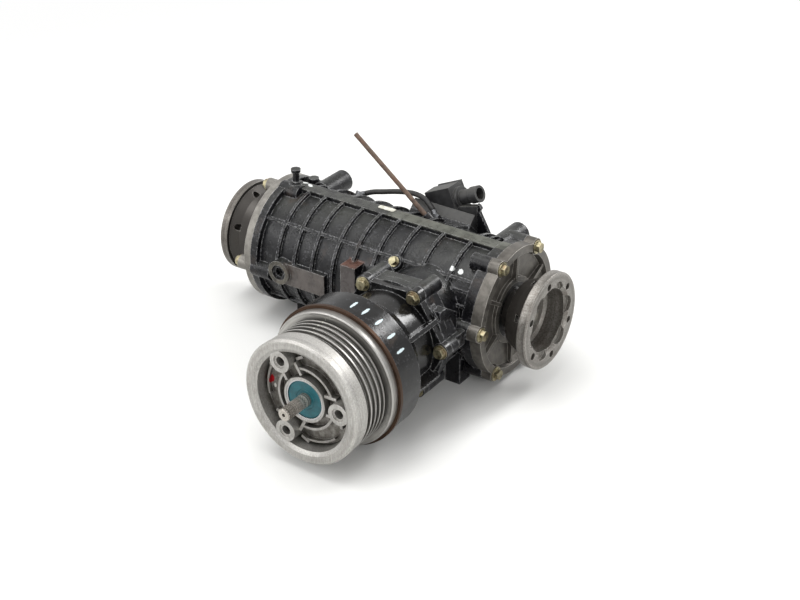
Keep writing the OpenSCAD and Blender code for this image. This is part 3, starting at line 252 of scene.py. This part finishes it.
def tube(path, radii, sides):
    """Grid of rings round a path: each ring is p + r (cos a * side + sin a * over), with side and over
    square to the path."""
    along = np.gradient(path, axis=0)
    along /= np.linalg.norm(along, axis=1)[:, None]
    side = np.cross(along, (0, 1, 0.2))
    side /= np.linalg.norm(side, axis=1)[:, None]
    over = np.cross(along, side)
    a = np.linspace(0, 2 * math.pi, sides, endpoint=False)[None, :, None]
    radii = np.broadcast_to(radii, len(path))[:, None, None]
    return path[:, None] + radii * (np.cos(a) * side[:, None] + np.sin(a) * over[:, None])


def grid_faces(rows, sides):
    """Quads of a grid whose rows close on themselves, wound outwards for tube()."""
    i = np.arange(rows - 1)[:, None]
    k = np.arange(sides)[None, :]
    low, high, other = i * sides, (i + 1) * sides, (k + 1) % sides
    return np.stack([low + k, high + k, high + other, low + other], -1).reshape(-1, 4)


def end_faces(rows, sides):
    """The two caps of such a grid: its first row, and its last row the other way round."""
    return [list(range(sides)), list(range(rows * sides - 1, (rows - 1) * sides - 1, -1))]


def put(name, vertices, faces, material, body):
    """Makes a piece of the object from arrays, with its material, and lets it ride on a CAD body."""
    mesh = bpy.data.meshes.new(name)
    mesh.from_pydata(np.asarray(vertices, float).reshape(-1, 3).tolist(), [], [list(f) for f in faces])
    mesh.shade_smooth()
    mesh.materials.append(material)
    piece = bpy.data.objects.new(name, mesh)
    scene.collection.objects.link(piece)
    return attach(piece, body)


hose_sides = 20
rings = tube(route, hose_r / 1000, hose_sides)
walls = grid_faces(len(route), hose_sides).tolist() + end_faces(len(route), hose_sides)
hose = put("hose", rings, walls, hose_rubber, "housing")
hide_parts("vacuum_hose")


# ------------------------------------------------- main casting and nose
# Sand-cast aluminium painted with black chassis paint. The paint is thin and
# half glossy, greasy dust has settled on top and is painted lighter there also
# as light from above, pale specks along the rib shoulders and over the paint are
# painted highlights, and the rib edges are rubbed.
def worn_edges(tree, mm):
    """(0 to 1 share near a sharp edge, the rounded normal): a normal averaged over mm leaves the face's
    own one there."""
    soft = add(tree, "Bevel", {"Radius": mm / 1000}, samples=6)
    face = add(tree, "NewGeometry")
    dot = add(tree, "VectorMath", {0: soft.outputs[0], 1: face.outputs["Normal"]}, operation="DOT_PRODUCT")
    return between(tree, dot.outputs["Value"], 0.995, 0.86), soft.outputs[0]


def upward(tree, low, high):
    """Share of the way from low to high of the object normal's height: 1 where the surface looks up."""
    up_part = add(tree, "SeparateXYZ", {0: add(tree, "TexCoord").outputs["Normal"]})
    return between(tree, up_part.outputs["Z"], low, high)


def times(tree, a, b, operation="MULTIPLY"):
    """Two numbers joined by one sum."""
    return add(tree, "Math", {0: a, 1: b}, operation=operation).outputs[0]


def in_box(tree, low, high, soft=0.8):
    """1 inside the box from low to high (mm from the axis crossing), 0 outside: the largest of
    |p - middle| - half."""
    low, high = (np.array(p, float) - (reach, 0, 0) for p in (low, high))
    where = add(tree, "TexCoord").outputs["Object"]
    moved = add(tree, "VectorMath", {0: where, 1: ((low + high) / 2000).tolist()}, operation="SUBTRACT")
    size = add(tree, "VectorMath", {0: moved.outputs[0]}, operation="ABSOLUTE")
    half = ((high - low) / 2000).tolist()
    past = add(tree, "VectorMath", {0: size.outputs[0], 1: half}, operation="SUBTRACT")
    part = add(tree, "SeparateXYZ", {0: past.outputs[0]})
    most = times(tree, times(tree, part.outputs[0], part.outputs[1], "MAXIMUM"), part.outputs[2], "MAXIMUM")
    return between(tree, most, soft / 1000, -soft / 1000)


def dab(tree, centre, radii, turn_y=0.0, turn_z=0.0):
    """1 inside an ellipsoid with these radii (mm) round centre (mm from the axis crossing), turned in
    degrees; its edge is broken by 2 mm noise."""
    place = (np.array(centre, float) - (reach, 0, 0)) / 1000
    moved = add(tree, "Mapping", {
        "Vector": add(tree, "TexCoord").outputs["Object"], "Location": place.tolist(),
        "Rotation": (0, math.radians(turn_y), math.radians(turn_z)), "Scale": [r / 1000 for r in radii]},
        vector_type="TEXTURE")
    length = add(tree, "VectorMath", {0: moved.outputs[0]}, operation="LENGTH").outputs["Value"]
    ragged = between(tree, object_noise(tree, 2, 3), 0.3, 0.7, -0.25, 0.25)
    return between(tree, times(tree, length, ragged, "ADD"), 1.08, 0.92)


spread = 0.35, 0.7  # where most values of a noise lie


def chassis_paint(name, dust_and_top_light_colour="4c4d48", patches=(), dabs=(), rough=(0.2, 0.42), lumps_mm=1.1,
                  shades=("08080a", "141417"), gloss=0.27, grit_mm=0.5, glint_share=0.8):
    """Black chassis paint over a sand casting: 1.8 mm sand grain, 12 mm paint runs, 45 mm patches of dust.

    Faces that look up take the dust, which also paints them lighter as light from above. Within 3 mm of an
    edge pale 2 mm specks are painted highlights, fainter painted glints are strewn over the whole paint, and
    the edge itself is rubbed. patches are (low corner, high corner, dark hex, light hex) of places with
    another finish, and dabs are (colour, sizes of dab()).
    """
    made, tree, shader = new_material(name, Specular_IOR_Level=gloss)
    edge, rounded = worn_edges(tree, 1.0)
    shoulder_highlight_band, _ = worn_edges(tree, 3.2)
    wide, runs, sand = object_noise(tree, 45), object_noise(tree, 12, 6), object_noise(tree, 1.8, 3)
    colour = blend_colour(tree, between(tree, runs, *spread), *shades)
    # Dust on faces that look up; its paler colour there is also painted light from above.
    dust_and_top_light = times(tree, upward(tree, 0.6, 1.0), between(tree, wide, 0.4, 0.65, 0.1, 1.0))
    colour = blend_colour(tree, times(tree, dust_and_top_light, 0.5), colour, dust_and_top_light_colour)
    # Painted highlights: pale specks along the rib shoulders, and fainter painted glints over the paint.
    glint_specks = between(tree, object_noise(tree, 2.2, 3), 0.5, 0.62)
    colour = blend_colour(tree, times(tree, times(tree, shoulder_highlight_band, glint_specks), glint_share), colour, "8a8a8e")
    thin = times(tree, glint_specks, between(tree, object_noise(tree, 9, 4), 0.52, 0.64))
    colour = blend_colour(tree, times(tree, thin, 0.4 * glint_share), colour, "6c6c70")
    for low, high, dark, light in patches:
        other = blend_colour(tree, between(tree, runs, *spread), dark, light)
        colour = blend_colour(tree, in_box(tree, low, high), colour, other)
    rub = times(tree, edge, between(tree, object_noise(tree, 4, 5), 0.42, 0.58))
    colour = blend_colour(tree, times(tree, rub, 0.9), colour, "a8a8a6")
    brown = times(tree, between(tree, object_noise(tree, 30, 3), 0.62, 0.74), 0.4)
    colour = blend_colour(tree, brown, colour, "40332a")
    for paint, *spot in dabs:
        colour = blend_colour(tree, dab(tree, *spot), colour, paint)
    tree.links.new(colour, shader.inputs["Base Color"])
    tree.links.new(between(tree, runs, 0.3, 0.75, *rough), shader.inputs["Roughness"])
    lumps = add(tree, "Bump", {
        "Height": runs, "Distance": lumps_mm / 1000, "Strength": 0.6, "Normal": rounded})
    grit = add(tree, "Bump", {
        "Height": sand, "Distance": grit_mm / 1000, "Strength": 0.7, "Normal": lumps.outputs[0]})
    tree.links.new(grit.outputs[0], shader.inputs["Normal"])
    return made


def finish_nodes(material, *names):
    """Gives these CAD nodes the material in every slot."""
    for name in names:
        if not nodes[name].material_slots:
            nodes[name].data.materials.append(material)
        for place in nodes[name].material_slots:
            place.material = material


# The spine's paler olive-grey top is dust and also painted light from above.
spine = ((-84, -8.2, 69.5), (68, 8.2, 75), "3a3b34", "5f6058")
spine_left = ((-221, -8.2, 69.5), (-84, 8.2, 75), "1d1d1c", "444540")
plug_ring = ((-196.5, -76.5, -15.5), (-167.5, -75.2, 13.5), "3f3c36", "615d52")
filler_plate = ((-184.5, -76.5, -15.5), (-121.5, -71.3, 11.5), "4c4744", "645e5a")
pad_front = ((-98.5, -75, -0.5), (-78.5, -73.4, 33.2), "4a4543", "5e5856")
pad_top = ((-98.5, -75, 33.4), (-78.5, -44, 35), "4a362f", "6c4b40")
white_paint = "dfe2e0"
marks = (
    (white_paint, (24.7, -44.0, 52.9), (3, 3, 3)), (white_paint, (34.0, -41.8, 51.4), (3, 3, 3)),
    (white_paint, (-207, 5, 70.8), (6, 1.8, 3), 0, 25), (white_paint, (-196, 4, 70.8), (4, 2, 3), 0, -30))
black_paint = chassis_paint(
    "black chassis paint on sand casting",
    patches=(filler_plate, plug_ring, pad_front, pad_top, spine_left, spine), dabs=marks)
finish_nodes(black_paint, "main_housing", "actuator_bracket")
bell_r, tick_y, tick_paint = 75, -194, "c3d2d6"
tick_angles = (84, 73, 60, 46, 33)
ticks = [
    (tick_paint, (bell_r * math.cos(math.radians(a)), tick_y, bell_r * math.sin(math.radians(a))),
     (1.5, 6.5, 1.5), 90 - a) for a in tick_angles]
finish_nodes(chassis_paint(
    "smooth black paint on the nose", "2e2c2a", dabs=ticks, rough=(0.1, 0.28), lumps_mm=0.2,
    shades=("060606", "121213"), gloss=0.3, grit_mm=0.15, glint_share=0.5), "nose_housing")


# -------------------------------------------------------------- blank label
# A white paper label with nothing on it, stuck on the spine; its rim has
# begun to curl and its face has yellowed.
def sheet(centre, half, thick, curl, sides):
    """Closed sheet with round corners, in metres: a ring at share s and angle a is
    centre + s half (cos, sin)^(1/3), lifted curl s^6 at its rim."""
    shares = [0.02, 0.3, 0.6, 0.85, 0.95, 1]
    s = np.array(shares + shares[::-1])[:, None]
    over = np.repeat([thick, 0.0], len(shares))[:, None]
    a = np.linspace(0, 2 * math.pi, sides, endpoint=False)[None, :]
    x, y = (np.sign(f) * np.abs(f) ** (1 / 3) for f in (np.cos(a), np.sin(a)))
    flat = np.stack([
        centre[0] + s * half[0] * x, centre[1] + s * half[1] * y,
        centre[2] + over + curl * s ** 6 + 0 * a], -1)
    return (flat - [reach, 0, 0]) / 1000


paper_label, tree, shader = new_material("yellowed label paper", Roughness=0.6, Specular_IOR_Level=0.3)
stain = object_noise(tree, 5, 5)
colour = blend_colour(tree, between(tree, stain, 0.4, 0.7), "dcdbd2", "a8a595")
tree.links.new(colour, shader.inputs["Base Color"])
fibres = add(tree, "Bump", {"Height": object_noise(tree, 1.5, 3), "Distance": 0.00005})
tree.links.new(fibres.outputs[0], shader.inputs["Normal"])
label_sides = 48
grid = sheet((-91, 4, 70.9), (10.5, 3.6), 0.15, 0.25, label_sides)
turned = grid_faces(len(grid), label_sides)[:, ::-1].tolist()
put("blank_label", grid, turned + end_faces(len(grid), label_sides), paper_label, "housing")


# -------------------------------------------------------------- side covers
# Aluminium castings left bare: the right one grey-brown from road film, the
# left one cleaner, with its rim skimmed on the lathe.
def from_axis(tree, centre, along):
    """(distance from a line through centre, place along it); along is X or Y. Distance is the length of
    the other two parts."""
    spot = add(tree, "TexCoord").outputs["Object"]
    where = add(tree, "VectorMath", {0: spot, 1: centre}, operation="SUBTRACT")
    keep = (0, 1, 1) if along == "X" else (1, 0, 1)
    flat = add(tree, "VectorMath", {0: where.outputs[0], 1: keep}, operation="MULTIPLY")
    length = add(tree, "VectorMath", {0: flat.outputs[0]}, operation="LENGTH").outputs["Value"]
    return length, add(tree, "SeparateXYZ", {0: where.outputs[0]}).outputs[along]


def bare_casting(name, dark, light, darkening_colour, oily_within=0.0):
    """Sand-cast aluminium: 1.2 mm grain, 8 mm flow marks, grime in 25 mm patches, brighter rubbed edges.

    Nearer the axis than oily_within (mm) it is black with oil.
    """
    made, tree, shader = new_material(name, Metallic=0.6)
    edge, rounded = worn_edges(tree, 0.7)
    flow, sand = object_noise(tree, 8, 5), object_noise(tree, 1.2, 3)
    colour = blend_colour(tree, between(tree, flow, 0.35, 0.68), dark, light)
    colour = blend_colour(tree, between(tree, object_noise(tree, 25, 4), 0.5, 0.72, 0.0, 0.7), colour, darkening_colour)
    colour = blend_colour(tree, times(tree, edge, 0.85), colour, "c2beb7")
    distance, _ = from_axis(tree, (0, 0, 0), "X")
    oily = between(tree, distance, oily_within / 1000, oily_within / 1000 - 0.002)
    colour = blend_colour(tree, oily, colour, "1b1918")
    tree.links.new(colour, shader.inputs["Base Color"])
    tree.links.new(between(tree, flow, 0.3, 0.7, 0.34, 0.58), shader.inputs["Roughness"])
    grit = add(tree, "Bump", {"Height": sand, "Distance": 0.0003, "Strength": 0.5, "Normal": rounded})
    tree.links.new(grit.outputs[0], shader.inputs["Normal"])
    return made


finish_nodes(bare_casting(
    "bare cast aluminium, road film", "4f4c47", "726e68", "3d3935", oily_within=30.6), "right_cover")
finish_nodes(bare_casting(
    "bare cast aluminium, skimmed rim", "6c6964", "8c8983", "4b4843", oily_within=63), "left_cover")

# -------------------------------------------------------------------- bolts
# Yellow-passivated zinc on steel screws: gold with olive and pink tints that
# wander over each head.
zinc, tree, shader = new_material("yellow passivated zinc", Metallic=0.9)
edge, rounded = worn_edges(tree, 0.5)
tint = object_noise(tree, 5, 3)
colour = blend_colour(tree, between(tree, tint, 0.35, 0.6), "625c48", "aaa284")
colour = blend_colour(tree, between(tree, object_noise(tree, 7, 2), 0.52, 0.7, 0.0, 0.6), colour, "7c5e48")
colour = blend_colour(tree, times(tree, edge, 0.5), colour, "d6cfb6")
tree.links.new(colour, shader.inputs["Base Color"])
tree.links.new(between(tree, tint, 0.3, 0.7, 0.28, 0.5), shader.inputs["Roughness"])
grain = add(tree, "Bump", {"Height": object_noise(tree, 0.8), "Distance": 0.0001, "Normal": rounded})
tree.links.new(grain.outputs[0], shader.inputs["Normal"])
finish_nodes(zinc, "right_cover_bolts", "left_cover_bolts", "nose_bolts", "clip_bolt")


# ------------------------------------------- turned steel and aluminium
# Lathe-turned surfaces: the drive flanges in forged steel with a film of
# brown oil, the coupling in clean aluminium, darker in its fin grooves with
# grime and painted shade, darker on the floor of its face, and with a painted
# highlight along the top of its fins.
def turned_metal(name, centre, along, dark, light, film, film_share=0.6, rough=(0.3, 0.48),
                 edge_light="dedbd4", darkening=None, dabs=(), metallic=0.9, pits=0.0, darkening_colour="3b3835",
                 scratches=0.0):
    """Turned metal: rings 0.7 mm apart and bands 4.5 mm apart, from noises of distance and place along
    the axis alone, under patches of film 20 mm wide.

    The darkening function takes the tree, distance and place and returns the share of the darker colour:
    black oil on the flanges, grime and painted shade in the drum's grooves, a darker floor in its face.
    dabs are spots of colour, as in chassis_paint: paint, and on the drum a painted highlight. scratches
    is the share of fine straight lines, 0.8 mm apart and 13 mm long, left by emery cloth, and pits that
    of 1.6 mm pits filled with the film.
    """
    made, tree, shader = new_material(name, Metallic=metallic)
    edge, rounded = worn_edges(tree, 0.4)
    distance, place = from_axis(tree, centre, along)
    lathe = add(tree, "CombineXYZ", {"X": distance, "Y": place}).outputs[0]
    rings_per_m, bands_per_m = 1400.0, 220.0
    rings = add(tree, "TexNoise", {"Vector": lathe, "Scale": rings_per_m, "Detail": 3.0}).outputs["Fac"]
    bands = add(tree, "TexNoise", {"Vector": lathe, "Scale": bands_per_m, "Detail": 2.0}).outputs["Fac"]
    colour = blend_colour(tree, between(tree, bands, 0.35, 0.65), dark, light)
    filmed = between(tree, object_noise(tree, 20, 5), 0.48, 0.7, 0.0, film_share)
    colour = blend_colour(tree, filmed, colour, film)
    lines = object_noise(tree, 0.8, 2, (1, 1, 0.06), (0, math.radians(50), 0))
    colour = blend_colour(tree, between(tree, lines, 0.5, 0.62, 0.0, scratches), colour, edge_light)
    pitted = between(tree, object_noise(tree, 1.6, 4), 0.44, 0.62, 0.0, pits)
    colour = blend_colour(tree, pitted, colour, film)
    if darkening:
        colour = blend_colour(tree, darkening(tree, distance, place), colour, darkening_colour)
    colour = blend_colour(tree, times(tree, edge, 0.6), colour, edge_light)
    # Dabs of paint, and on the drum a painted highlight streak.
    for paint, *spot in dabs:
        colour = blend_colour(tree, dab(tree, *spot), colour, paint)
    tree.links.new(colour, shader.inputs["Base Color"])
    tree.links.new(between(tree, rings, 0.3, 0.7, *rough), shader.inputs["Roughness"])
    marks = add(tree, "Bump", {"Height": rings, "Distance": 0.00008, "Strength": 0.6, "Normal": rounded})
    tree.links.new(marks.outputs[0], shader.inputs["Normal"])
    return made


def between_fins(tree, distance, place):
    """Grime and painted shade in the grooves: darker below the crests of the fins."""
    return between(tree, distance, 0.0657, 0.0645, 0.0, 0.55)


def deep_in_face(tree, distance, place):
    """Darker on the floor of the coupling's face: from 9 to 15 mm below its rim, inside it, in 6 mm
    blotches."""
    inside = between(tree, distance, 0.0545, 0.0535)
    blotches = between(tree, object_noise(tree, 6, 5), 0.3, 0.62, 0.45, 0.95)
    return times(tree, times(tree, between(tree, place, -0.2655, -0.2595), inside), blotches)


def oily_back(tree, distance, place):
    """Black oil on a flange's back and neck: deeper than 9.6 mm behind its face and outside the cup, or
    deeper than 34 mm."""
    depth = add(tree, "Math", {0: place}, operation="ABSOLUTE").outputs[0]
    back = times(tree, between(tree, depth, 0.0094, 0.0098), between(tree, distance, 0.0355, 0.0362))
    return times(tree, times(tree, back, between(tree, depth, 0.034, 0.0345), "MAXIMUM"), 0.92)


left_face = (-0.404, 0, 0)
right_face = (0, 0, 0)
coupling_axis = (-reach / 1000, 0, 0)
finish_nodes(turned_metal(
    "turned forged steel, oil film", right_face, "X", "6f6d68", "8f8c87", "4a4038", 0.5,
    darkening=oily_back, metallic=0.6, pits=0.6), "right_flange")
finish_nodes(turned_metal(
    "turned forged steel, black oil", left_face, "X", "5a5652", "77736d", "3f3934", 0.7,
    darkening=oily_back, metallic=0.6, pits=0.6), "left_flange")
finish_nodes(turned_metal(
    "flange bolt steel", right_face, "X", "4e4b46", "6a665e", "3a3026"),
    "right_flange_bolt", "left_flange_bolt")
# On the coupling drum the pale streak along the top of its fins is a painted highlight.
finish_nodes(turned_metal(
    "turned cast aluminium", coupling_axis, "Y", "8b8986", "aeaca8", "6c6861", 0.3, (0.3, 0.46), "e2e0dc",
    between_fins, [("c9cbc0", (-6, -232, 66.6), (0.8, 17, 2))]), "coupling_drum")
finish_nodes(turned_metal(
    "turned cast aluminium, face", coupling_axis, "Y", "9d9b98", "adaba7", "78746d", 0.3, (0.4, 0.55),
    "dddbd6", deep_in_face,
    [("b02630", (-47, -258, 4), (3.4, 4, 4.2)), ("d8d6d0", (-43, -258, -3), (1.6, 4, 2.6))],
    darkening_colour="56524c", scratches=0.35, pits=0.25), "drum_front_cover")
bearing_rough = 0.16, 0.3
finish_nodes(turned_metal(
    "ground bearing steel", coupling_axis, "Y", "b4b4b6", "cacacc", "8c8a86", 0.2, bearing_rough),
    "seal_ring", "drum_bearing", "pinion_head_bearing", "pinion_tail_bearing", "inner_plates", "outer_plates")
finish_nodes(turned_metal(
    "ground bearing steel, cross shafts", right_face, "X", "a4a4a6", "bababc", "8c8a86", 0.2, bearing_rough),
    "right_carrier_bearing", "left_carrier_bearing", "left_shaft_bearing", "right_shaft", "left_shaft",
    "lock_rod", "cross_pin")
finish_nodes(turned_metal(
    "splined shaft steel", coupling_axis, "Y", "99938b", "c6c0b8", "6c5f54", 0.2, (0.2, 0.34), metallic=0.7),
    "centre_spigot")
finish_nodes(turned_metal(
    "copper-brown plated ring", coupling_axis, "Y", "33271f", "4c392d", "2a211b", 0.5, (0.4, 0.6), "6c5443"),
    "dust_ring")

# --------------------------------------------------------------- gears
# Case-hardened gear steel, dark from phosphate and oil; the bronze fork and
# washers run against it.
gear_steel, tree, shader = new_material("phosphated gear steel", Metallic=0.9)
edge, rounded = worn_edges(tree, 0.4)
oil = object_noise(tree, 9, 4)
colour = blend_colour(tree, between(tree, oil, *spread), "56575a", "77787a")
tree.links.new(blend_colour(tree, times(tree, edge, 0.6), colour, "a8a9ab"), shader.inputs["Base Color"])
tree.links.new(between(tree, oil, 0.3, 0.7, 0.28, 0.5), shader.inputs["Roughness"])
tree.links.new(rounded, shader.inputs["Normal"])
finish_nodes(
    gear_steel, "ring_gear", "spider_gears", "left_side_gear", "right_side_gear", "drive_pinion",
    "pinion_nut", "coupling_hub", "lock_sleeve", "ring_gear_bolts", "actuator_screws", "hose_nipples")
finish_nodes(chassis_paint("oiled cast iron", "4a4844"), "differential_case")

bronze, tree, shader = new_material("cast bearing bronze", Metallic=1.0)
colour = blend_colour(tree, between(tree, object_noise(tree, 6), *spread), "8a6a3c", "a98850")
tree.links.new(colour, shader.inputs["Base Color"])
tree.links.new(between(tree, object_noise(tree, 3), 0.3, 0.7, 0.3, 0.5), shader.inputs["Roughness"])
finish_nodes(bronze, "lock_fork", "side_gear_washers", "connector_pins")

# ----------------------------------------------------------- rubber seals
# Lip seals in black nitrile, wet with oil at the lip.
nitrile, tree, shader = new_material("oiled nitrile rubber", Specular_IOR_Level=0.5)
colour = blend_colour(tree, between(tree, object_noise(tree, 8), *spread), "121212", "262523")
tree.links.new(colour, shader.inputs["Base Color"])
tree.links.new(between(tree, object_noise(tree, 14), 0.35, 0.65, 0.25, 0.6), shader.inputs["Roughness"])
finish_nodes(nitrile, "right_shaft_seal", "left_shaft_seal", "pinion_seal")

# -------------------------------------------------------------- seal cap
# Injection-moulded teal cap round the spigot, satin, with fine rings
# 1.1 mm apart from its turned mould.
teal, tree, shader = new_material("moulded teal plastic", Specular_IOR_Level=0.45)
edge, rounded = worn_edges(tree, 0.5)
distance, _ = from_axis(tree, coupling_axis, "Y")
lathe = add(tree, "CombineXYZ", {"X": distance}).outputs[0]
mould_rings_per_m = 900.0
rings = add(tree, "TexNoise", {"Vector": lathe, "Scale": mould_rings_per_m, "Detail": 2.0}).outputs["Fac"]
colour = blend_colour(tree, between(tree, object_noise(tree, 7, 4), *spread), "02444c", "065f69")
tree.links.new(blend_colour(tree, times(tree, edge, 0.4), colour, "2f8a90"), shader.inputs["Base Color"])
tree.links.new(between(tree, rings, 0.3, 0.7, 0.38, 0.52), shader.inputs["Roughness"])
marks = add(tree, "Bump", {"Height": rings, "Distance": 0.00005, "Strength": 0.5, "Normal": rounded})
tree.links.new(marks.outputs[0], shader.inputs["Normal"])
finish_nodes(teal, "seal_cap")

# --------------------------------------------------------- lock actuator
# Vacuum actuator in glass-filled black nylon, grey with dust on its top, and
# the plugs and breather in dull olive paint.
nylon, tree, shader = new_material("glass-filled black nylon", Specular_IOR_Level=0.45)
edge, rounded = worn_edges(tree, 0.8)
speckle = object_noise(tree, 10, 5)
colour = blend_colour(tree, between(tree, speckle, *spread), "1c1c1d", "2f2f30")
settled = times(tree, upward(tree, 0.2, 1.0), between(tree, speckle, 0.3, 0.6, 0.2, 0.7))
colour = blend_colour(tree, settled, colour, "504f4b")
tree.links.new(blend_colour(tree, times(tree, edge, 0.45), colour, "6e6e6d"), shader.inputs["Base Color"])
tree.links.new(between(tree, speckle, 0.3, 0.7, 0.42, 0.62), shader.inputs["Roughness"])
grain = add(tree, "Bump", {
    "Height": object_noise(tree, 1.0, 3), "Distance": 0.00015, "Strength": 0.5, "Normal": rounded})
tree.links.new(grain.outputs[0], shader.inputs["Normal"])
finish_nodes(nylon, "lock_actuator")
finish_nodes(chassis_paint("olive-grey plug paint", "3c3d34"), "fill_plug", "drain_plug", "breather_cap")

# -------------------------------------------------------------- vent pipe
# Thin steel pipe, copper-plated once and now brown with rust.
rust, tree, shader = new_material("rust-brown steel pipe", Metallic=0.25)
scale = object_noise(tree, 6, 6)
colour = blend_colour(tree, between(tree, scale, 0.35, 0.65), "46382f", "69574a")
colour = blend_colour(tree, between(tree, object_noise(tree, 18, 4), 0.52, 0.7, 0.0, 0.6), colour, "6e4a38")
tree.links.new(colour, shader.inputs["Base Color"])
tree.links.new(between(tree, scale, 0.3, 0.7, 0.5, 0.8), shader.inputs["Roughness"])
flakes = add(tree, "Bump", {"Height": scale, "Distance": 0.0003, "Strength": 0.6})
tree.links.new(flakes.outputs[0], shader.inputs["Normal"])
finish_nodes(rust, "vent_pipe")
